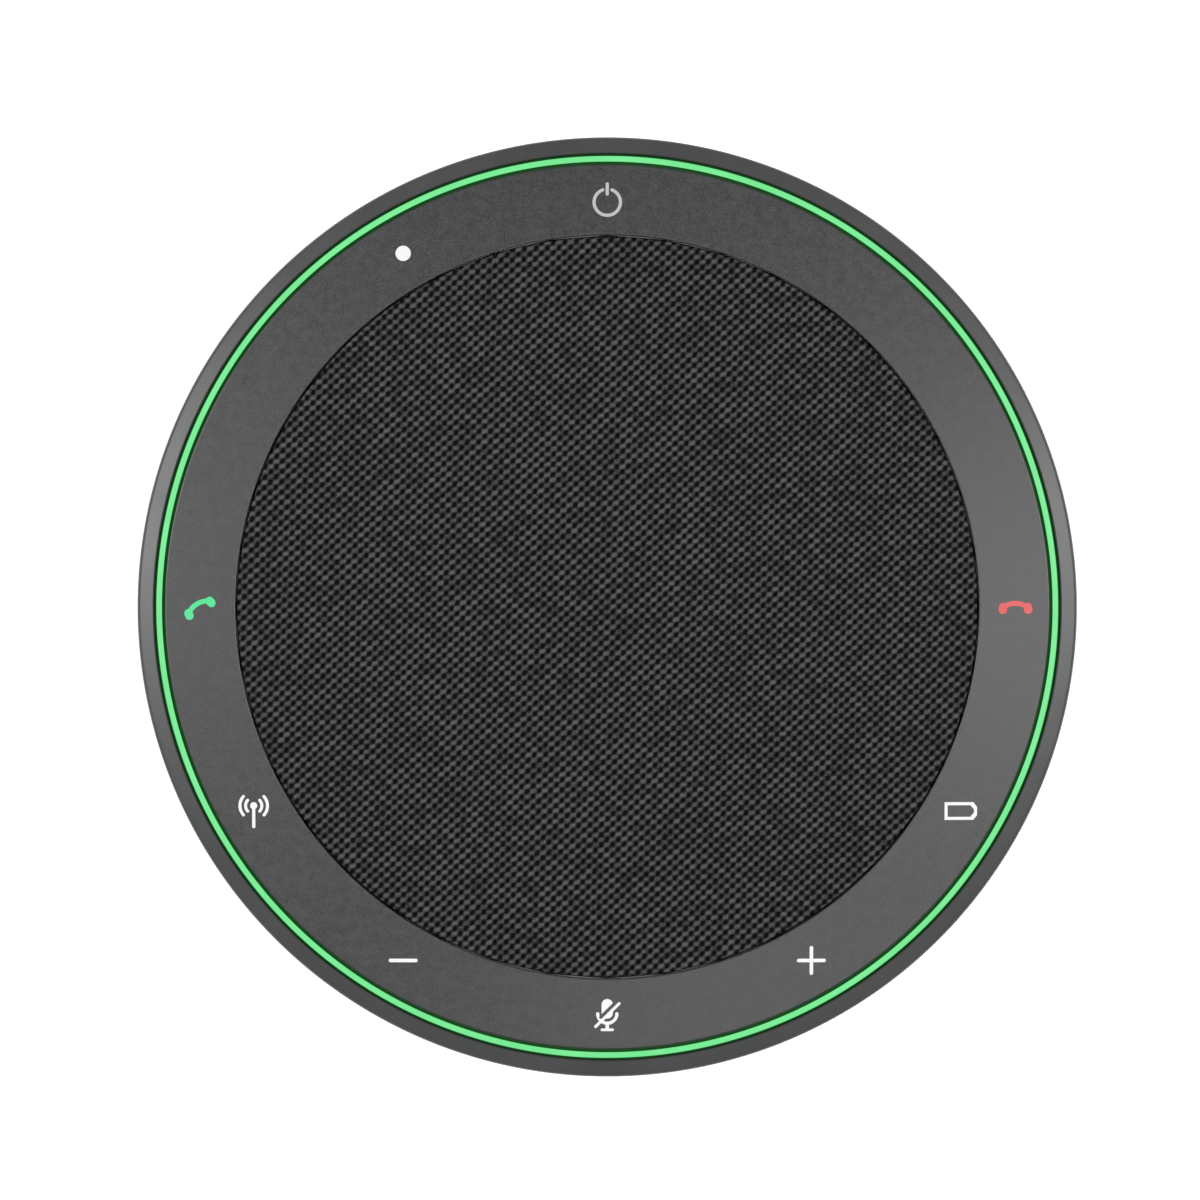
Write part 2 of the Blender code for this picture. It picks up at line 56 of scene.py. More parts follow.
# --- Camera -----------------------------------------------------------------------------------------------
# A long lens straight above the top face. The body is 78 % of the frame's width, a little right of and below
# the frame's centre.
body_share = 0.7778
off_right = 0.0060
off_down = 0.0057
body_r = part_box("top_rim")[1].x
rim_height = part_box("top_rim")[0].z
lens_mm = 135.0
sensor_mm = 36.0
frame_width = 2 * body_r / body_share
distance = frame_width * lens_mm / sensor_mm
camera_data = bpy.data.cameras.new("camera")
camera_data.lens = lens_mm
camera_data.sensor_width = sensor_mm
camera = bpy.data.objects.new("camera", camera_data)
bpy.context.scene.collection.objects.link(camera)
camera.location = (-off_right * frame_width, off_down * frame_width, rim_height + distance)
bpy.context.scene.camera = camera


# --- Studio -----------------------------------------------------------------------------------------------
# A pale floor, a dim white surround, and round soft boxes. High ones stand where the panel's shallow cone
# mirrors them towards the camera, and lower ones where the rim's steeper face does.
class Socket:
    """One output of a material's nodes. Arithmetic on it adds Math nodes to the same material."""

    def __init__(self, tree, output):
        self.tree = tree
        self.output = output

    def node(self, kind, settings=None, inputs=None, output=0):
        """Adds any node: its settings first, then the values or links of its sockets."""
        made = self.tree.nodes.new("ShaderNode" + kind)
        for name, value in (settings or {}).items():
            setattr(made, name, value)
        for name, value in (inputs or {}).items():
            if isinstance(value, Socket):
                self.tree.links.new(value.output, made.inputs[name])
            else:
                made.inputs[name].default_value = value
        return Socket(self.tree, made.outputs[output])

    def math(self, operation, *others):
        """A Math node on this value and any others."""
        return self.node("Math", {"operation": operation}, dict(enumerate((self, *others))))

    def __add__(self, other):
        return self.math("ADD", other)

    def __sub__(self, other):
        return self.math("SUBTRACT", other)

    def __mul__(self, other):
        return self.math("MULTIPLY", other)

    def __rsub__(self, other):
        return self * -1 + other

    __radd__ = __add__
    __rmul__ = __mul__

    def noise(self, size, detail=2.0, roughness=0.5):
        """Noise about 0 to 1 whose features are about size metres wide, on this vector."""
        inputs = {"Vector": self, "Scale": 1 / size, "Detail": detail, "Roughness": roughness}
        return self.node("TexNoise", {}, inputs)

    def between(self, low, high):
        """0 below low, 1 above high, and a smooth step between them."""
        inputs = {"Value": self, "From Min": low, "From Max": high}
        return self.node("MapRange", {"interpolation_type": "SMOOTHSTEP"}, inputs)

    def blend(self, low, high):
        """A colour from low to high as this factor goes from 0 to 1."""
        ends = {0: self, 6: (*low, 1) if isinstance(low, tuple) else low}
        ends[7] = (*high, 1) if isinstance(high, tuple) else high
        return self.node("Mix", {"data_type": "RGBA"}, ends, 2)

    def bump(self, depth):
        """A normal for a relief of this height field, depth metres deep."""
        return self.node("Bump", {}, {"Strength": 1.0, "Distance": depth, "Height": self})


def new_material(name, roughness, metallic=0.0):
    """A material with its shader, and the piece's own coordinates as a Socket."""
    material = bpy.data.materials.new(name)
    material.use_nodes = True
    tree = material.node_tree
    shader = tree.nodes["Principled BSDF"]
    shader.inputs["Roughness"].default_value = roughness
    shader.inputs["Metallic"].default_value = metallic
    place = Socket(tree, tree.nodes.new("ShaderNodeTexCoord").outputs["Object"])
    return material, shader, place


def feed(shader, **links):
    """Links sockets to the shader, with underscores for the spaces in its socket names."""
    for name, socket in links.items():
        socket.tree.links.new(socket.output, shader.inputs[name.replace("_", " ")])


floor_paint, shader, place = new_material("pale floor", 0.7)
feed(shader, Base_Color=place.noise(0.5).blend((0.9, 0.9, 0.9), (0.93, 0.93, 0.93)))
shader.inputs["Emission Color"].default_value = (1, 1, 1, 1)
shader.inputs["Emission Strength"].default_value = 0.4
bpy.ops.object.select_all(action="DESELECT")
bpy.ops.mesh.primitive_plane_add(size=9.0)
floor = bpy.context.object
floor.name = "floor"
floor.data.materials.append(floor_paint)

world = bpy.data.worlds.new("surround")
world.use_nodes = True
world.node_tree.nodes["Background"].inputs["Color"].default_value = (1, 1, 1, 1)
world.node_tree.nodes["Background"].inputs["Strength"].default_value = 0.33
bpy.context.scene.world = world
bpy.context.scene.view_settings.view_transform = "Standard"

SOFT_BOXES = {  # degrees round from the right, reach and height in metres, size in metres, watts
    "high right box": (0, 0.26, 0.80, 0.15, 1.0),
    "high left box": (180, 0.26, 0.80, 0.15, 0.42),
    "high front box": (285, 0.26, 0.80, 0.16, 0.57),
    "low right box": (8, 0.55, 0.62, 0.28, 2.7),
    "low left box": (168, 0.55, 0.62, 0.33, 3.5),
}
for name, (bearing, reach, height, size, watts) in SOFT_BOXES.items():
    light = bpy.data.lights.new(name, "AREA")
    light.shape = "DISK"
    light.size = size
    light.energy = watts
    box = bpy.data.objects.new(name, light)
    bpy.context.scene.collection.objects.link(box)
    turned_to = math.radians(bearing)
    box.location = (reach * math.cos(turned_to), reach * math.sin(turned_to), height)
    box.rotation_euler = box.location.to_track_quat("Z", "Y").to_euler()


# --- Rubber foot ring -------------------------------------------------------------------------------------
# A moulded ring of matt black rubber, glued into a groove of the foot plate. It stands 1 mm proud of the
# plate, and its working face has a shallow groove all round.
def pick(piece):
    """Selects one piece and nothing else."""
    bpy.ops.object.select_all(action="DESELECT")
    bpy.context.view_layer.objects.active = piece
    piece.select_set(True)


def edit(piece):
    """Opens a piece in edit mode."""
    pick(piece)
    bpy.ops.object.mode_set(mode="EDIT")


def apply_modifier(piece, kind, **settings):
    """Adds a modifier, sets it up and applies it."""
    pick(piece)
    modifier = piece.modifiers.new(kind.title(), kind)
    for name, value in settings.items():
        setattr(modifier, name, value)
    bpy.ops.object.modifier_apply(modifier=modifier.name)


def smooth(piece, angle=35.0):
    """Shades a piece smooth, but for the edges that turn by more than this many degrees."""
    pick(piece)
    bpy.ops.object.shade_smooth_by_angle(angle=math.radians(angle))


def turn(name, profile, steps=240, rounding=0.0, sweep=360.0):
    """A turned piece. The profile is (radius, height) points in metres, extruded one after another from a
    single point and spun about the upright axis. It is closed unless it starts and ends on the axis."""
    bpy.ops.object.select_all(action="DESELECT")
    bpy.ops.mesh.primitive_plane_add(size=0.01)
    piece = bpy.context.object
    piece.name = piece.data.name = name
    edit(piece)
    bpy.ops.mesh.merge(type="CENTER")
    points = [np.array([radius, 0, height]) for radius, height in profile]
    bpy.ops.transform.translate(value=points[0])
    for here, there in zip(points, points[1:]):
        bpy.ops.mesh.extrude_region_move(TRANSFORM_OT_translate={"value": there - here})
    bpy.ops.mesh.select_all(action="SELECT")
    if profile[0][0] > 0:
        bpy.ops.mesh.edge_face_add()
        bpy.ops.mesh.delete(type="ONLY_FACE")
        bpy.ops.mesh.select_all(action="SELECT")
    # With no window, spin turns the other way: about the downward axis it goes anticlockwise.
    bpy.ops.mesh.spin(steps=steps, angle=math.radians(sweep), center=(0, 0, 0), axis=(0, 0, -1))
    bpy.ops.mesh.select_all(action="SELECT")
    bpy.ops.mesh.remove_doubles(threshold=0.000002)
    if sweep < 360:
        bpy.ops.mesh.fill_holes(sides=0)
    bpy.ops.mesh.select_all(action="SELECT")
    bpy.ops.mesh.normals_make_consistent(inside=False)
    bpy.ops.object.mode_set(mode="OBJECT")
    if rounding:
        apply_modifier(
            piece, "BEVEL", width=rounding, segments=3, limit_method="ANGLE", angle_limit=math.radians(25)
        )
    smooth(piece)
    return piece


def copied(pattern, name, placing):
    """A copy with a mesh of its own, put in its place by a matrix."""
    piece = bpy.data.objects.new(name, pattern.data.copy())
    piece.data.name = name
    piece.data.transform(placing)
    bpy.context.scene.collection.objects.link(piece)
    return piece


def round_by(degrees):
    """The matrix that turns a piece about the object's upright axis."""
    return Matrix.Rotation(math.radians(degrees), 4, "Z")


def dress(piece, material, slot, *replaced, body="housing"):
    """Gives a new piece its material and its body, and hides the CAD nodes that it stands for. The slot is not
    used.
    """
    piece.data.materials.clear()
    piece.data.materials.append(material)
    if body:
        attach(piece, body)
    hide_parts(*replaced)


def rubber(name, colour, roughness=0.85):
    """Moulded rubber: matt, faintly mottled, with a fine even grain."""
    material, shader, place = new_material(name, roughness)
    dusty = place.noise(6 * MM, 4.0).between(0.35, 0.8)
    pale = tuple(1.5 * value + 0.004 for value in colour)
    grain = place.noise(0.25 * MM, 2.0)
    feed(
        shader,
        Base_Color=dusty.blend(colour, pale),
        Roughness=roughness - 0.1 + 0.2 * dusty,
        Normal=grain.bump(0.02 * MM),
    )
    shader.inputs["Specular IOR Level"].default_value = 0.35
    return material


low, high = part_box("foot_ring")
ring_out = high.x
ring_in = ring_out - 9 * MM
ring_middle = (ring_in + ring_out) / 2
groove_mouth = 1.2 * MM
groove_bed = 0.8 * MM
groove_depth = 0.35 * MM
foot_ring = turn(
    "rubber_foot_ring",
    [
        (ring_in, high.z),
        (ring_out, high.z),
        (ring_out, low.z),
        (ring_middle + groove_mouth, low.z),
        (ring_middle + groove_bed, low.z + groove_depth),
        (ring_middle - groove_bed, low.z + groove_depth),
        (ring_middle - groove_mouth, low.z),
        (ring_in, low.z),
    ],
    rounding=0.25 * MM,
)
dress(foot_ring, rubber("foot rubber", (0.016, 0.016, 0.017)), "foot_rubber", "foot_ring")


# --- Foot plate -------------------------------------------------------------------------------------------
# A moulded plastic plate that closes the base and is the lower wall of the lead's channel. Its underside
# has a recessed round panel inside the rubber ring, with six shallow ribs moulded in.
def plastic(name, colour, roughness, grain=0.35 * MM, depth=0.012 * MM, mottle=0.12):
    """Moulded plastic with an eroded grain: matt, slightly uneven in tone and in gloss."""
    material, shader, place = new_material(name, roughness)
    fine = place.noise(grain, 3.0, 0.6)
    broad = place.noise(40 * grain, 3.0)
    tone = 0.5 * fine.between(0.3, 0.7) + 0.5 * broad.between(0.3, 0.7)
    dark = tuple((1 - mottle) * value for value in colour)
    pale = tuple((1 + mottle) * value for value in colour)
    feed(
        shader,
        Base_Color=tone.blend(dark, pale),
        Roughness=roughness - 0.05 + 0.1 * broad,
        Normal=fine.bump(depth),
    )
    return material


low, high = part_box("foot_plate")
plate_r = high.x
edge = 1.0 * MM
glue = 0.3 * MM
groove_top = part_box("foot_ring")[1].z + glue
groove_in = ring_in - glue
groove_out = ring_out + glue
bay_r = ring_in + 0.6 * MM
bay_floor = low.z + 2.0 * MM
recess_r = 0.86 * groove_in
recess_foot_r = 0.85 * groove_in
recess_top = low.z + 0.4 * MM
foot_plate = turn(
    "foot_plate_moulding",
    [
        (0, bay_floor),
        (bay_r, bay_floor),
        (bay_r, high.z),
        (plate_r - edge, high.z),
        (plate_r - 0.3 * edge, high.z - 0.3 * edge),
        (plate_r, high.z - edge),
        (plate_r, low.z + 1.5 * edge),
        (plate_r - 0.45 * edge, low.z + 0.45 * edge),
        (plate_r - 1.5 * edge, low.z),
        (groove_out, low.z),
        (groove_out, groove_top),
        (groove_in, groove_top),
        (groove_in, low.z),
        (recess_r, low.z),
        (recess_foot_r, recess_top),
        (0, recess_top),
    ],
    rounding=0.15 * MM,
)
screw_low, screw_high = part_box("base_screw_1")
screw_circle = math.hypot(screw_low.x + screw_high.x, screw_low.y + screw_high.y) / 2
head_r = (screw_high.x - screw_low.x) / 2
head_top = screw_low.z + 1.4 * MM
shank_r = 1.0 * MM
play = 0.3 * MM


def drill(piece, radius, bottom, top):
    """Bores four upright holes for the base screws."""
    bpy.ops.object.select_all(action="DESELECT")
    middle = (bottom + top) / 2
    for bearing in (45, 135, 225, 315):
        turned_to = math.radians(bearing)
        spot = (screw_circle * math.cos(turned_to), screw_circle * math.sin(turned_to), middle)
        bpy.ops.mesh.primitive_cylinder_add(vertices=32, radius=radius, depth=top - bottom, location=spot)
        bit = bpy.context.object
        apply_modifier(piece, "BOOLEAN", operation="DIFFERENCE", object=bit)
        bpy.data.objects.remove(bit)
    smooth(piece)


drill(foot_plate, head_r + play, groove_top - 0.5 * MM, head_top)
drill(foot_plate, shank_r + play, groove_top, high.z + play)
foot_plastic = plastic("foot plate plastic", (0.03, 0.031, 0.033), 0.55)
rib_length = 0.52 * groove_in
rib_width = 1.2 * MM
rib_height = 0.4 * MM
bpy.ops.object.select_all(action="DESELECT")
bpy.ops.mesh.primitive_plane_add(size=1, location=(0.5 * groove_in, 0, low.z + 0.15 * MM))
rib = bpy.context.object
edit(rib)
bpy.ops.mesh.select_all(action="SELECT")
bpy.ops.transform.resize(value=(rib_length, rib_width, 1))
bpy.ops.mesh.extrude_region_move(TRANSFORM_OT_translate={"value": (0, 0, rib_height)})
bpy.ops.mesh.select_all(action="SELECT")
bpy.ops.mesh.normals_make_consistent(inside=False)
bpy.ops.object.mode_set(mode="OBJECT")
bpy.ops.object.transform_apply(location=True)
apply_modifier(rib, "BEVEL", width=0.15 * MM, segments=2)
smooth(rib)
for index in range(6):
    dress(copied(rib, f"foot_plate_rib_{index + 1}", round_by(60 * index + 30)), foot_plastic, "foot_plastic")
bpy.data.objects.remove(rib)
dress(foot_plate, foot_plastic, "foot_plastic", "foot_plate")


# --- Base screws ------------------------------------------------------------------------------------------
# Four steel screws, plated in black zinc, that pull the foot plate up to the spool and the bowl. The rubber
# ring hides them.
def metal(name, colour, roughness, streak=(1, 1, 1)):
    """Worked metal: fine scratches, drawn out along one axis by streak, and small changes of gloss."""
    material, shader, place = new_material(name, roughness, 1.0)
    drawn = place.node("Mapping", {}, {"Vector": place, "Scale": streak})
    scratches = drawn.noise(0.4 * MM, 4.0, 0.7)
    pale = tuple(min(1.0, 1.2 * value) for value in colour)
    feed(
        shader,
        Base_Color=scratches.between(0.3, 0.7).blend(colour, pale),
        Roughness=roughness - 0.08 + 0.16 * scratches,
        Normal=scratches.bump(0.006 * MM),
    )
    return material


screw_steel = metal("black screw steel", (0.045, 0.045, 0.05), 0.4)
for index in range(4):
    nodes[f"base_screw_{index + 1}"].data.materials[0] = screw_steel

# --- Cable spool ------------------------------------------------------------------------------------------
# The neck between the foot and the bowl, moulded in black plastic. The lead winds round it, and a port at the
# rear lets the grommet through. A ledge inside holds the main board.
low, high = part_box("cable_spool")
spool_r = high.x
spool_in = spool_r - 4.4 * MM
ledge_in = spool_in - 3.3 * MM
ledge_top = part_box("main_board")[0].z - 0.3 * MM
ledge_foot = ledge_top - 1.2 * MM
flare = 0.5 * MM
seam = 0.25 * MM
spool_top = high.z + seam
spool_foot = low.z - seam
spool = turn(
    "cable_spool_moulding",
    [
        (spool_in, spool_top),
        (spool_r, spool_top),
        (spool_r - flare, spool_top - flare),
        (spool_r - flare, spool_foot + flare),
        (spool_r, spool_foot),
        (spool_in, spool_foot),
        (spool_in, ledge_foot),
        (ledge_in, ledge_foot),
        (ledge_in, ledge_top),
        (spool_in, ledge_top),
    ],
    rounding=0.15 * MM,
)
gland_low, gland_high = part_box("cable_gland")
gland_z = (gland_low.z + gland_high.z) / 2
gland_r = (gland_high.z - gland_low.z) / 2
bpy.ops.object.select_all(action="DESELECT")
bpy.ops.mesh.primitive_cylinder_add(
    vertices=48,
    radius=gland_r - 0.15 * MM,
    depth=12 * MM,
    location=(0, spool_in, gland_z),
    rotation=(math.radians(90), 0, 0),
)
port = bpy.context.object
apply_modifier(spool, "BOOLEAN", operation="DIFFERENCE", object=port)
bpy.data.objects.remove(port)
drill(spool, shank_r + play, low.z - play, high.z + play)
dress(spool, plastic("spool plastic", (0.028, 0.029, 0.031), 0.6), "foot_plastic", "cable_spool")

# --- Cable gland ------------------------------------------------------------------------------------------
# A soft black rubber grommet. Its collar bears on the outside of the neck, and a small bead round its mouth
# spreads the lead's bend.
length = gland_high.y - gland_low.y
collar_back = length - 1.7 * MM
mouth_r = gland_r - 0.7 * MM
bead_r = gland_r - 0.45 * MM
bead = 0.35 * MM
bore = 1.6 * MM
sleeve = 2.3 * MM
gland = turn(
    "lead_grommet",
    [
        (bore, length),
        (mouth_r, length),
        (bead_r, length - bead),
        (mouth_r, length - 2 * bead),
        (gland_r, length - 2.4 * bead),
        (gland_r, collar_back),
        (sleeve, collar_back),
        (sleeve, 0),
        (bore, 0),
    ],
    steps=64,
    rounding=0.1 * MM,
)
stand = Matrix.Translation((0, gland_low.y, gland_z)) @ Matrix.Rotation(math.radians(-90), 4, "X")
gland.data.transform(stand)
dress(gland, rubber("gland rubber", (0.012, 0.012, 0.013), 0.75), "gland_rubber", "cable_gland")

# --- Base shell -------------------------------------------------------------------------------------------
# The bowl: one moulding of dark grey plastic with a fine eroded grain, 2 mm thick, curving in from the rim
# to the flat roof of the lead's channel.
low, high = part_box("base_shell")
flat_r = body_r - 16.25 * MM
hole_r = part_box("main_board")[1].x - 1.0 * MM
wall = 2.0 * MM


def bowl_arc(inset, foot, pieces=28):
    """The elliptical side of the bowl, from its top edge down to its flat floor."""
    angles = [math.pi / 2 * index / pieces for index in range(pieces + 1)]
    reach = body_r - inset - flat_r
    return [(flat_r + reach * math.cos(a), high.z - (high.z - foot) * math.sin(a)) for a in angles]


bowl_floor = low.z + wall - 0.2 * MM
base_shell = turn(
    "base_shell_moulding",
    [*bowl_arc(0, low.z), (hole_r, low.z), (hole_r, bowl_floor), *reversed(bowl_arc(wall, bowl_floor))],
)
drill(base_shell, shank_r + play, low.z - play, bowl_floor + play)
housing_plastic = plastic("housing plastic", (0.042, 0.043, 0.045), 0.5, 0.3 * MM, 0.014 * MM)
dress(base_shell, housing_plastic, "housing_plastic", "base_shell")


# --- Boards, shielding can and connector --------------------------------------------------------------------
# Two green circuit boards: the main one on the spool's ledge, with a tin-plated can over the processor and a
# nylon header for the lead's wires, and the ring board under the keys.
def board_finish(name, pitch):
    """Solder mask over copper: straight tracks under the green, and scattered tinned pads."""
    material, shader, place = new_material(name, 0.35)
    tracks = place.node(
        "TexBrick",
        {"offset": 0.5},
        {"Vector": place, "Scale": 1 / pitch, "Mortar Size": 0.08},
        1,
    )
    pads = place.node("TexVoronoi", {"feature": "F1"}, {"Vector": place, "Scale": 1 / (1.7 * pitch)})
    tinned = 1 - pads.between(0.16, 0.2)
    green = tracks.blend((0.008, 0.075, 0.03), (0.015, 0.13, 0.05))
    feed(
        shader,
        Base_Color=tinned.blend(green, (0.55, 0.55, 0.5)),
        Metallic=tinned,
        Normal=(0.5 * tracks + tinned).bump(0.03 * MM),
    )
    return material


nodes["main_board"].data.materials[0] = board_finish("main board laminate", 3 * MM)
nodes["ring_board"].data.materials[0] = board_finish("ring board laminate", 2 * MM)
nodes["shield_can"].data.materials[0] = metal("shield tin", (0.6, 0.6, 0.57), 0.3, (1, 6, 1))
nodes["lead_connector"].data.materials[0] = plastic("connector nylon", (0.72, 0.69, 0.6), 0.5)

# --- Battery and its pad ------------------------------------------------------------------------------------
# A flat cell in glossy blue shrink wrap, on a pad of grey foam that is stuck to the foot plate. The foam has
# open cells all over a dull surface, with painted shade darkening each pit towards its bottom.
wrap, shader, place = new_material("battery wrap", 0.3)
creases = place.node("Mapping", {}, {"Vector": place, "Scale": (1, 7, 1)}).noise(9 * MM, 4.0)
feed(
    shader,
    Base_Color=creases.blend((0.03, 0.06, 0.16), (0.06, 0.11, 0.26)),
    Roughness=0.22 + 0.2 * creases,
    Normal=creases.bump(0.3 * MM),
)
nodes["battery_pack"].data.materials[0] = wrap
grey_foam, shader, place = new_material("grey foam", 0.95)
foam_pits_and_painted_shade = place.node("TexVoronoi", {"feature": "F1"}, {"Vector": place, "Scale": 1 / (0.5 * MM)})
# Painted shade: the foam's colour darkens towards the bottom of each pit of the bump.
feed(
    shader,
    Base_Color=foam_pits_and_painted_shade.blend((0.03, 0.03, 0.03), (0.066, 0.066, 0.066)),
    Normal=foam_pits_and_painted_shade.bump(0.15 * MM),
)
nodes["battery_pad"].data.materials[0] = grey_foam

# --- Speaker chamber and upper chassis ----------------------------------------------------------------------
# Two black mouldings: the closed cup behind the loudspeaker, and the disc that carries it and the ring board.
chassis_plastic = plastic("chassis plastic", (0.025, 0.025, 0.026), 0.6, 0.6 * MM)
nodes["speaker_chamber"].data.materials[0] = chassis_plastic
nodes["upper_chassis"].data.materials[0] = chassis_plastic

# --- Loudspeaker motor, basket and gasket -------------------------------------------------------------------
# A zinc-plated yoke and top plate on either side of a ground ferrite ring, carried by a black steel basket.
# A ring of the grey foam seals the basket's rim.
motor_steel = metal("motor steel", (0.5, 0.5, 0.52), 0.3)
nodes["speaker_yoke"].data.materials[0] = motor_steel
nodes["speaker_top_plate"].data.materials[0] = motor_steel
nodes["speaker_magnet"].data.materials[0] = plastic("ferrite", (0.04, 0.04, 0.045), 0.5, 0.2 * MM)
nodes["speaker_basket"].data.materials[0] = plastic("basket paint", (0.02, 0.02, 0.021), 0.4, 0.9 * MM)
nodes["speaker_gasket"].data.materials[0] = grey_foam

# --- Voice coil, cone and dust cap --------------------------------------------------------------------------
# The moving parts: enamelled copper wire wound on a former, and a black pulp cone with a cap of the same
# pulp.
copper, shader, place = new_material("coil copper", 0.35, 1.0)
height = place.node("SeparateXYZ", {}, {"Vector": place}, 2)
winding_relief_and_painted_shade = (height * (2 * math.pi / (0.25 * MM))).math("SINE")
# The wire's colour follows the windings: painted shade in the grooves between turns and a painted highlight on
# their crowns.
feed(
    shader,
    Base_Color=winding_relief_and_painted_shade.between(-1, 1).blend((0.35, 0.12, 0.05), (0.75, 0.33, 0.17)),
    Normal=winding_relief_and_painted_shade.bump(0.05 * MM),
)
nodes["voice_coil"].data.materials[0] = copper
pulp, shader, place = new_material("cone pulp", 0.85)
fibres = place.noise(0.7 * MM, 6.0, 0.75)
feed(
    shader,
    Base_Color=fibres.between(0.3, 0.75).blend((0.018, 0.018, 0.019), (0.05, 0.05, 0.052)),
    Normal=fibres.bump(0.08 * MM),
)
nodes["speaker_cone"].data.materials[0] = pulp
nodes["dust_cap"].data.materials[0] = pulp


# --- Surround and spider ------------------------------------------------------------------------------------
# The half-roll of rubber round the cone and the corrugated disc of dipped cloth round the coil. Both are made
# in sectors, copied round the upright axis.
def flexing_ring(name, profile, material, slot, node):
    """A ring in sectors: copies of one sector, turned round the upright axis."""
    sectors = 24
    sweep = 360 / sectors
    pattern = turn(name, profile, steps=4, sweep=sweep)
    for index in range(sectors):
        sector = copied(pattern, f"{name}_{index + 1}", round_by(index * sweep))
        dress(sector, material, slot, node, body=None)
        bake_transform(sector)
    bpy.data.objects.remove(pattern)


low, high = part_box("cone_surround")
skin = 0.5 * MM
roll_out = high.x
roll_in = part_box("speaker_cone")[1].x + 0.3 * MM
roll_r = 1.8 * MM
roll_middle = roll_in + skin + roll_r
roll_foot = low.z + 0.1 * MM
arc_steps = 10
roll_top = [
    (roll_middle - roll_r * math.cos(a), roll_foot + (high.z - roll_foot) * math.sin(a))
    for a in (math.pi * (0.08 + 0.84 * index / arc_steps) for index in range(arc_steps + 1))
]
roll_under = [
    (roll_middle + (roll_r - skin) * math.cos(a), low.z + (roll_r - skin) * math.sin(a))
    for a in (math.pi * index / arc_steps for index in range(arc_steps + 1))
]
flexing_ring(
    "surround",
    [
        (roll_in, low.z + skin),
        *roll_top,
        (roll_out, low.z + skin),
        (roll_out, low.z),
        *roll_under,
        (roll_in, low.z),
    ],
    rubber("surround rubber", (0.014, 0.014, 0.015), 0.7),
    "surround_rubber",
    "cone_surround",
)
low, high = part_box("spider")
spider_out = high.x
spider_in = 10.6 * MM
cloth_t = 0.3 * MM
swing = (high.z - low.z - cloth_t) / 2
corrugations = 5
samples = 8 * corrugations
cloth_top = [
    (
        spider_in + (spider_out - spider_in) * index / samples,
        high.z - swing + swing * math.sin(2 * math.pi * corrugations * index / samples),
    )
    for index in range(samples + 1)
]
dipped, shader, place = new_material("spider cloth", 0.85)
threads = place.node("TexChecker", {}, {"Vector": place, "Scale": 1 / (0.35 * MM)}, 1)
feed(
    shader,
    Base_Color=threads.blend((0.35, 0.2, 0.07), (0.5, 0.33, 0.14)),
    Normal=threads.bump(0.04 * MM),
)
flexing_ring(
    "spider",
    cloth_top + [(r, z - cloth_t) for r, z in reversed(cloth_top)],
    dipped,
    "spider_cloth",
    "spider",
)

# --- Microphones --------------------------------------------------------------------------------------------
# Four gold-plated cans on the ring board, between the keys.
gold = metal("microphone can", (0.72, 0.58, 0.32), 0.3, (5, 1, 1))
for place_name in ("rear_right", "rear_left", "front_left", "front_right"):
    nodes[f"microphone_{place_name}"].data.materials[0] = gold

# --- Switch domes -------------------------------------------------------------------------------------------
# Nine translucent silicone domes on the ring board. Each returns its key.
KEYS = ("hang_up", "power", "custom", "answer", "wireless", "volume_down", "mute", "volume_up", "battery")


def key_middle(name):
    """The place of a key's upright axis."""
    key_low, key_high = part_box("key_" + name)
    return (key_low + key_high) / 2


silicone = rubber("switch silicone", (0.45, 0.45, 0.42), 0.5)
low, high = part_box("switch_dome_power")
dome_r = (high.x - low.x) / 2
web = 0.3 * MM
pattern = turn(
    "silicone_dome",
    [
        (0, high.z),
        (0.4 * dome_r, high.z),
        (0.5 * dome_r, high.z - 0.1 * MM),
        (0.85 * dome_r, low.z + web),
        (dome_r, low.z + 0.6 * web),
        (dome_r, low.z),
        (0, low.z),
    ],
    steps=32,
)
for name in KEYS:
    centre = key_middle(name)
    dome = copied(pattern, f"silicone_dome_{name}", Matrix.Translation((centre.x, centre.y, 0)))
    dress(dome, silicone, "switch_silicone", "switch_dome_" + name, body=None)
    name + "_key"
    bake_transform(dome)
bpy.data.objects.remove(pattern)

# --- Key frame and keys -------------------------------------------------------------------------------------
# A pale moulding with a window for each key, and nine milky plungers that spread the light of their diodes
# under the signs.
nodes["key_frame"].data.materials[0] = plastic("key frame plastic", (0.33, 0.33, 0.32), 0.5)
key_plastic = plastic("key plastic", (0.58, 0.58, 0.56), 0.4, 0.5 * MM, 0.004 * MM, 0.04)
for name in KEYS:
    nodes["key_" + name].data.materials[0] = key_plastic

# --- Outer rim ----------------------------------------------------------------------------------------------
# A separate dark grey ring that closes the housing round the light guide. Its face slopes outwards to a small
# rounded edge, and its satin finish is a little smoother than the bowl's.
low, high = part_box("top_rim")
light_low, light_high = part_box("light_ring")
panel_low, panel_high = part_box("key_overlay")
edge_r = 0.75 * MM
face_drop = 0.45 * MM
rim_in = light_high.x + 0.35 * MM
lip_in = panel_high.x + 0.1 * MM
lip_top = light_low.z - 0.3 * MM
skirt_r = body_r - 2.35 * MM
skirt_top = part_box("base_shell")[1].z + 0.3 * MM
edge_arc = [
    (body_r - edge_r + edge_r * math.cos(a), high.z - face_drop - edge_r + edge_r * math.sin(a))
    for a in (math.radians(74 - 7.4 * index) for index in range(11))
]
rim = turn(
    "outer_rim",
    [
        (rim_in, high.z - 0.15 * MM),
        (rim_in + 0.12 * MM, high.z - 0.02 * MM),
        *edge_arc,
        (body_r, skirt_top + 0.15 * MM),
        (body_r - 0.15 * MM, skirt_top),
        (skirt_r, skirt_top),
        (skirt_r, low.z),
        (lip_in, low.z),
        (lip_in, lip_top),
        (rim_in, lip_top),
    ],
    steps=360,
)
rim_plastic = plastic("rim plastic", (0.045, 0.0455, 0.046), 0.4, 0.25 * MM, 0.006 * MM)
dress(rim, rim_plastic, "rim_plastic", "top_rim")

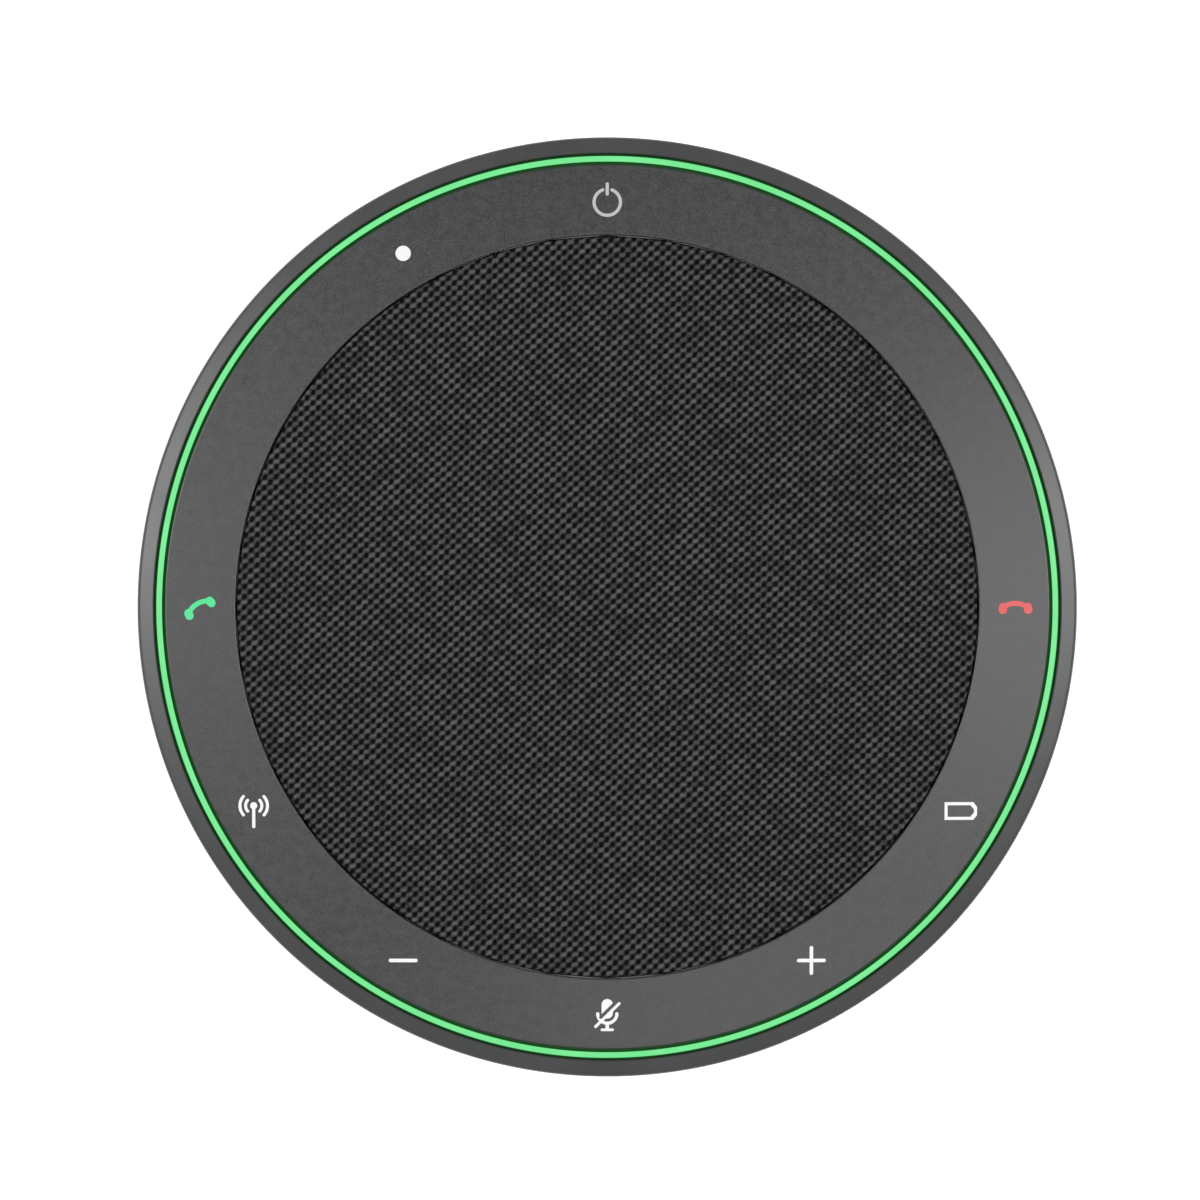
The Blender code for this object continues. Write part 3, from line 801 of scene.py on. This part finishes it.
# --- Light ring ---------------------------------------------------------------------------------------------
# A milky light guide between the panel and the rim, lit evenly in green. Its slightly crowned face stands a
# fraction of a millimetre below its neighbours, and its wider foot glows faintly at the bottom of both gaps.
crown = 0.1 * MM
guide_in = light_high.x - 0.77 * MM
guide_out = light_high.x
face = [
    (guide_in + (guide_out - guide_in) * index / 8, light_high.z - crown * (index / 4 - 1) ** 2)
    for index in range(9)
]
foot_top = light_high.z - 1.2 * MM
foot_play = 0.04 * MM
light_ring = turn(
    "light_guide",
    [
        *face,
        (guide_out, foot_top),
        (rim_in - foot_play, foot_top),
        (rim_in - foot_play, light_low.z),
        (panel_high.x + foot_play, light_low.z),
        (panel_high.x + foot_play, foot_top),
        (guide_in, foot_top),
    ],
    steps=360,
)
glow, shader, place = new_material("light guide", 0.35)
cloud = place.noise(7 * MM, 2.0).between(0.25, 0.75)
height = place.node("SeparateXYZ", {}, {"Vector": place}, 2)
lit_face = height.between(light_high.z - 0.3 * MM, light_high.z - 0.12 * MM)
green_light = cloud.blend((0.170, 0.765, 0.270), (0.200, 0.815, 0.305))
feed(
    shader,
    Base_Color=lit_face.blend((0.004, 0.012, 0.005), (0.01, 0.04, 0.015)),
    Emission_Color=lit_face.blend((0.003, 0.05, 0.006), green_light),
)
shader.inputs["Emission Strength"].default_value = 1.0
shader.inputs["Specular IOR Level"].default_value = 0.12
dress(light_ring, glow, "light_guide", "light_ring")

# --- Key panel ----------------------------------------------------------------------------------------------
# One seamless ring of soft-coated plastic, thin enough to give over each key. It is made in sectors that
# meet edge to edge: two plain ones at the rear, and a half sector on either side of each key.
fabric_low, fabric_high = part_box("grille_fabric")
panel_in = fabric_high.x + 0.3 * MM
panel_out = panel_high.x
panel_t = 0.8 * MM
inner_top = panel_high.z
outer_top = panel_low.z + panel_t
slope = math.atan2(inner_top - outer_top, panel_out - panel_in)


def panel_height(radius):
    """The height of the panel's sloping face."""
    return inner_top + (outer_top - inner_top) * (radius - panel_in) / (panel_out - panel_in)


lip = 0.14 * MM
flat_from = panel_in + 1.4 * lip
flat_to = panel_out - 1.4 * lip
panel_profile = [
    (panel_in, inner_top - 1.3 * lip),
    (panel_in + 0.3 * lip, inner_top - 0.45 * lip),
    (panel_in + lip, panel_height(panel_in + lip)),
    (flat_from, panel_height(flat_from)),
    (flat_to, panel_height(flat_to)),
    (panel_out - lip, panel_height(panel_out - lip)),
    (panel_out - 0.3 * lip, outer_top - 0.3 * lip),
    (panel_out, outer_top - lip),
    (panel_out, panel_low.z),
    (panel_in, inner_top - panel_t),
]
coat, shader, place = new_material("panel coat", 0.36)
specks = place.noise(0.26 * MM, 2.0, 0.7)
clouds = place.noise(1.4 * MM, 3.0, 0.6)
tone = 0.7 * specks.between(0.25, 0.75) + 0.3 * clouds.between(0.3, 0.7)
feed(
    shader,
    Base_Color=tone.blend((0.0155, 0.0158, 0.016), (0.0495, 0.0498, 0.05)),
    Roughness=0.32 + 0.1 * tone,
    Normal=specks.bump(0.006 * MM),
)
half_key = 15.0
plain_sectors = {"rear_right": (15.0, 60.0), "rear_left": (135.0, 30.0)}
for name, (start, sweep) in plain_sectors.items():
    sector = turn(f"panel_{name}", panel_profile, steps=int(sweep / 1.5), sweep=sweep)
    sector.data.transform(round_by(start))
    dress(sector, coat, "panel_plastic", "key_overlay")
pattern = turn("panel_half_sector", panel_profile, steps=10, sweep=half_key)
for name in KEYS:
    middle = key_middle(name)
    bearing = math.degrees(math.atan2(middle.y, middle.x))
    for side, start, way in (("before", bearing - half_key, -1), ("after", bearing, 1)):
        sector = copied(pattern, f"panel_{name}_{side}", round_by(start))
        dress(sector, coat, "panel_plastic", "key_overlay", body=None)
        name + "_key"
        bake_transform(sector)
bpy.data.objects.remove(pattern)


# --- Signs --------------------------------------------------------------------------------------------------
# Each key's sign is a lit inlay, all but flush with the panel: strokes with round ends, white but for the
# green and the red handset. The wireless sign is a plain mast with waves.
def stroke(points, width):
    """The outline of a stroke of this width with round ends along a path, all in millimetres."""
    path = [np.array(point, float) for point in points]
    half = width / 2
    sides = {1: [], -1: []}
    for index, point in enumerate(path):
        along = path[min(index + 1, len(path) - 1)] - path[max(index - 1, 0)]
        along = along / np.linalg.norm(along)
        across = np.array([-along[1], along[0]])
        for side, line in sides.items():
            line.append(point + side * half * across)

    def cap(middle, first, count=8):
        """A half circle from the first point round the end of the stroke, clockwise."""
        spoke = first - middle
        turns = [-math.pi * index / count for index in range(1, count)]
        return [
            middle
            + np.array(
                [
                    spoke[0] * math.cos(t) - spoke[1] * math.sin(t),
                    spoke[0] * math.sin(t) + spoke[1] * math.cos(t),
                ]
            )
            for t in turns
        ]

    left, right = sides[1], sides[-1][::-1]
    return [*left, *cap(path[-1], left[-1]), *right, *cap(path[0], right[-1])]


def circle_path(radius, start, end, middle=(0, 0), count=20):
    """Points on an arc, in millimetres, with angles in degrees."""
    angles = [math.radians(start + (end - start) * index / count) for index in range(count + 1)]
    return [(middle[0] + radius * math.cos(a), middle[1] + radius * math.sin(a)) for a in angles]


def inlay(*outlines):
    """A flat plate with these outlines. An outline inside another is a hole."""
    curve = bpy.data.curves.new("inlay", "CURVE")
    curve.dimensions = "2D"
    curve.fill_mode = "BOTH"
    curve.extrude = sign_t / 2
    for outline in outlines:
        spline = curve.splines.new("POLY")
        spline.points.add(len(outline) - 1)
        spline.use_cyclic_u = True
        for point, (x, y) in zip(spline.points, outline):
            point.co = (x * MM, y * MM, 0, 1)
    plate = bpy.data.objects.new("inlay", curve)
    bpy.context.scene.collection.objects.link(plate)
    pick(plate)
    bpy.ops.object.convert(target="MESH")
    plate = bpy.context.object
    edit(plate)
    bpy.ops.mesh.select_all(action="SELECT")
    bpy.ops.mesh.remove_doubles(threshold=0.000001)
    bpy.ops.mesh.normals_make_consistent(inside=False)
    bpy.ops.object.mode_set(mode="OBJECT")
    return plate


def joined(first, *others, operation="UNION"):
    """One plate out of several that cross, or one plate cut by the others."""
    for other in others:
        other.data.transform(Matrix.Diagonal((1, 1, 1 if operation == "UNION" else 3, 1)))
        apply_modifier(first, "BOOLEAN", operation=operation, object=other)
        bpy.data.objects.remove(other)
    return first


def handset():
    """A telephone handset seen from the side, its ends down."""
    reach, rise, grip, pad = 1.8, 0.6, 0.7, 1.2
    radius = (reach**2 + rise**2) / (2 * rise)
    spread = math.degrees(math.asin(reach / radius))
    handle = circle_path(radius, 90 + spread, 90 - spread, (0, 0.5 - radius))
    ends = [inlay(stroke([(x, -0.4), (0.96 * x, -0.02)], pad)) for x in (-reach, reach)]
    return joined(inlay(stroke(handle, grip)), *ends)


def power_sign():
    ring_middle = (0, -0.5)
    ring = inlay(stroke(circle_path(1.86, 110, 430, ring_middle, 40), 0.45))
    return joined(ring, inlay(stroke([(0, 0.65), (0, 2.1)], 0.45)))


def wireless_sign():
    parts = [inlay(stroke([(0, -2.2), (0, 0.5)], 0.45)), inlay(circle_path(0.5, 0, 354, (0, 0.75), 59))]
    for radius in (1.15, 1.95):
        for middle in (0, 180):
            parts.append(inlay(stroke(circle_path(radius, middle - 42, middle + 42, (0, 0.75)), 0.42)))
    plate = joined(parts[0], parts[1])
    return joined(plate, *parts[2:])


def mute_sign():
    capsule = inlay(stroke([(0, 0.3), (0, 1.5)], 1.6))
    cup = inlay(stroke(circle_path(1.35, 180, 360, (0, 0.2)), 0.45))
    stem = inlay(stroke([(0, -1.2), (0, -2.0)], 0.5))
    foot = inlay(stroke([(-0.75, -2.08), (0.75, -2.08)], 0.38))
    plate = joined(capsule, joined(cup, stem, foot))
    gap = inlay(stroke([(-0.9, -0.3), (1.5, 2.05)], 0.5))
    slash = inlay(stroke([(-1.65, -1.63), (1.68, 1.64)], 0.4))
    return joined(joined(plate, gap, operation="DIFFERENCE"), slash)


def battery_sign():
    def case(inset):
        left, top, right = -2.3 + inset, 1.25 - inset, 2.3 - inset
        bend, nose = 1.78 - inset, 0.56 - 0.8 * inset
        return [(left, top), (bend, top), (right, nose), (right, -nose), (bend, -top), (left, -top)]

    return inlay(case(0), case(0.43))


sign_t = 0.3 * MM
sign_proud = 0.03 * MM


def lit(name, colour, light):
    """A translucent inlay lit from behind, a little unevenly, in soft patches."""
    material, shader, place = new_material(name, 0.45)
    cloud = place.noise(1.2 * MM, 2.0).between(0.2, 0.8)
    dim = tuple(0.93 * value for value in light)
    feed(shader, Base_Color=cloud.blend(colour, colour), Emission_Color=cloud.blend(dim, light))
    shader.inputs["Emission Strength"].default_value = 1.0
    return material


white = lit("white sign", (0.1, 0.1, 0.1), (0.8, 0.8, 0.8))
pale = lit("power sign", (0.08, 0.08, 0.08), (0.42, 0.42, 0.42))
green = lit("answer sign", (0.01, 0.06, 0.03), (0.05, 0.70, 0.24))
red = lit("hang-up sign", (0.06, 0.01, 0.01), (0.70, 0.075, 0.075))
receiver = handset()
bar = inlay(stroke([(-1.8, 0), (1.8, 0)], 0.5))
SIGNS = {
    "power": (power_sign(), pale, "sign_white"),
    "custom": (inlay(circle_path(1.08, 0, 354, (0, 0), 59)), white, "sign_white"),
    "answer": (copied(receiver, "raised handset", round_by(30)), green, "sign_green"),
    "wireless": (wireless_sign(), white, "sign_white"),
    "volume_up": (
        joined(copied(bar, "plus", round_by(0)), copied(bar, "upright", round_by(90))),
        white,
        "sign_white",
    ),
    "volume_down": (bar, white, "sign_white"),
    "mute": (mute_sign(), white, "sign_white"),
    "battery": (battery_sign(), white, "sign_white"),
    "hang_up": (receiver, red, "sign_red"),
}
for name, (plate, material, slot) in SIGNS.items():
    middle = key_middle(name)
    turned_to = math.atan2(middle.y, middle.x)
    lean = Matrix.Rotation(slope, 4, (-math.sin(turned_to), math.cos(turned_to), 0))
    height = panel_height(math.hypot(middle.x, middle.y)) + sign_proud - sign_t / 2
    plate.data.transform(Matrix.Translation((middle.x, middle.y, height)) @ lean)
    plate.name = plate.data.name = "sign_" + name
    smooth(plate)
    dress(plate, material, slot, body=name + "_key")

# --- Grille plate and fabric --------------------------------------------------------------------------------
# A coarse black weave stretched over a domed plastic plate and tucked into the gap round it. The threads
# cross 0.8 mm apart, slightly off square, and their floats line up in strands that run up to the right. Its
# colour is painted shade, darkest in the holes between the threads, over a random tone from crossing to
# crossing.
nodes["grille_plate"].data.materials[0] = plastic("grille plate plastic", (0.015, 0.015, 0.016), 0.6)
fabric_r = fabric_high.x
fabric_t = 0.7 * MM
dome_rise = fabric_high.z - fabric_low.z - fabric_t
repeat = (1.626 * MM, 1.456 * MM)
lean_right = math.radians(2.5)
lean_up = math.radians(1.5)
relief = 0.11 * MM
tuck = 0.9 * MM
strand_share, cross_share, oval_share = 0.60, 0.38, 0.09  # of the weave's relief
SAMPLES = 4  # mesh lines in one repeat of the weave
counts = [2 * math.ceil(fabric_r / (size / SAMPLES)) + 8 for size in repeat]
bpy.ops.object.select_all(action="DESELECT")
bpy.ops.mesh.primitive_grid_add(x_subdivisions=counts[0], y_subdivisions=counts[1], size=1)
fabric = bpy.context.object
fabric.name = fabric.data.name = "fabric_cover"
grid = np.empty(3 * len(fabric.data.vertices), np.float32)
fabric.data.vertices.foreach_get("co", grid)
grid = grid.reshape(-1, 3).astype(float)
step_u = np.round(grid[:, 0] * counts[0])
step_v = np.round(grid[:, 1] * counts[1])
along_u = step_u * repeat[0] / SAMPLES
along_v = step_v * repeat[1] / SAMPLES
x = along_u * math.cos(lean_right) + along_v * math.sin(lean_up)
y = along_u * math.sin(lean_right) + along_v * math.cos(lean_up)
u = step_u / SAMPLES
v = step_v / SAMPLES
weave = -strand_share * np.cos(2 * np.pi * (u - v)) - cross_share * np.cos(2 * np.pi * (u + v))
weave += oval_share * (np.cos(4 * np.pi * v) - np.cos(4 * np.pi * u))
radius = np.hypot(x, y)
keep = radius < fabric_r + 0.5 * MM
trim = np.where(radius > fabric_r - 0.15 * MM, fabric_r / np.maximum(radius, MM), 1.0)
x, y = x * trim, y * trim
radius = np.hypot(x, y)
sunk = relief * (weave - 1) * np.clip((fabric_r - radius) / MM, 0, 1)
z = fabric_high.z - 0.12 * MM - dome_rise * (radius / fabric_r) ** 2 + sunk
fabric.data.vertices.foreach_set("co", np.stack([x, y, z], 1).astype(np.float32).ravel())
fabric.data.update()
edit(fabric)
bpy.ops.mesh.select_mode(type="VERT")
bpy.ops.mesh.select_all(action="DESELECT")
bpy.ops.object.mode_set(mode="OBJECT")
fabric.data.vertices.foreach_set("select", ~keep)
bpy.ops.object.mode_set(mode="EDIT")
bpy.ops.mesh.delete(type="VERT")
bpy.ops.mesh.select_all(action="SELECT")
bpy.ops.mesh.remove_doubles(threshold=0.00004)
bpy.ops.mesh.select_all(action="DESELECT")
bpy.ops.mesh.select_non_manifold(
    use_wire=False, use_multi_face=False, use_non_contiguous=False, use_verts=False
)
for half in range(2):
    bpy.ops.mesh.extrude_region_move(TRANSFORM_OT_translate={"value": (0, 0, -tuck / 2)})
bpy.ops.object.mode_set(mode="OBJECT")
smooth(fabric, 180)

weave_cloth, shader, place = new_material("grille cloth", 0.8)
axes = place.node("SeparateXYZ", {}, {"Vector": place})
across = Socket(axes.tree, axes.output.node.outputs["X"])
upward = Socket(axes.tree, axes.output.node.outputs["Y"])
skew = math.cos(lean_right) * math.cos(lean_up) - math.sin(lean_right) * math.sin(lean_up)
wander = 0.14 * (place.noise(2.5 * MM, 3.0) - 0.5)
per_u = 1 / (skew * repeat[0])
per_v = 1 / (skew * repeat[1])
turns_u = per_u * math.cos(lean_up) * across - per_u * math.sin(lean_up) * upward + wander
turns_v = per_v * math.cos(lean_right) * upward - per_v * math.sin(lean_right) * across + wander


def wave(turns):
    """A cosine that comes round once a turn."""
    return (turns * (2 * math.pi)).math("COSINE")


strand = turns_u - turns_v
cross = turns_u + turns_v
ovals = 0.5 * oval_share * wave(turns_v * 2) - 0.5 * oval_share * wave(turns_u * 2)
woven = 0.5 - 0.5 * strand_share * wave(strand) - 0.5 * cross_share * wave(cross) + ovals
knot = place.node("CombineXYZ", {}, {0: strand.math("FLOOR"), 1: cross.math("FLOOR")})
uneven = place.node("TexWhiteNoise", {"noise_dimensions": "3D"}, {"Vector": knot})
patchy = place.noise(0.45 * MM, 3.0, 0.7)
along_strand = {"Vector": place, "Rotation": (0, 0, math.radians(-42)), "Scale": (1, 5, 1)}
fibre = place.node("Mapping", {}, along_strand).noise(0.35 * MM, 3.0, 0.7)
shade = 0.1 + 0.7 * uneven + 0.9 * patchy.between(0.3, 0.7) + 0.6 * fibre
# Painted shade: the cloth's colour is darkest in the holes between the threads and lightest on the raised
# crossings, times the yarns' random tone.
weave_tone_and_painted_shade = woven.between(0.15, 1.05) * shade * 0.7
feed(
    shader,
    Base_Color=weave_tone_and_painted_shade.blend((0.0009, 0.0009, 0.001), (0.088, 0.088, 0.089)),
    Normal=(woven + 0.3 * fibre).bump(0.12 * MM),
)
shader.inputs["Specular IOR Level"].default_value = 0.08
dress(fabric, weave_cloth, "grille_fabric", "grille_fabric")
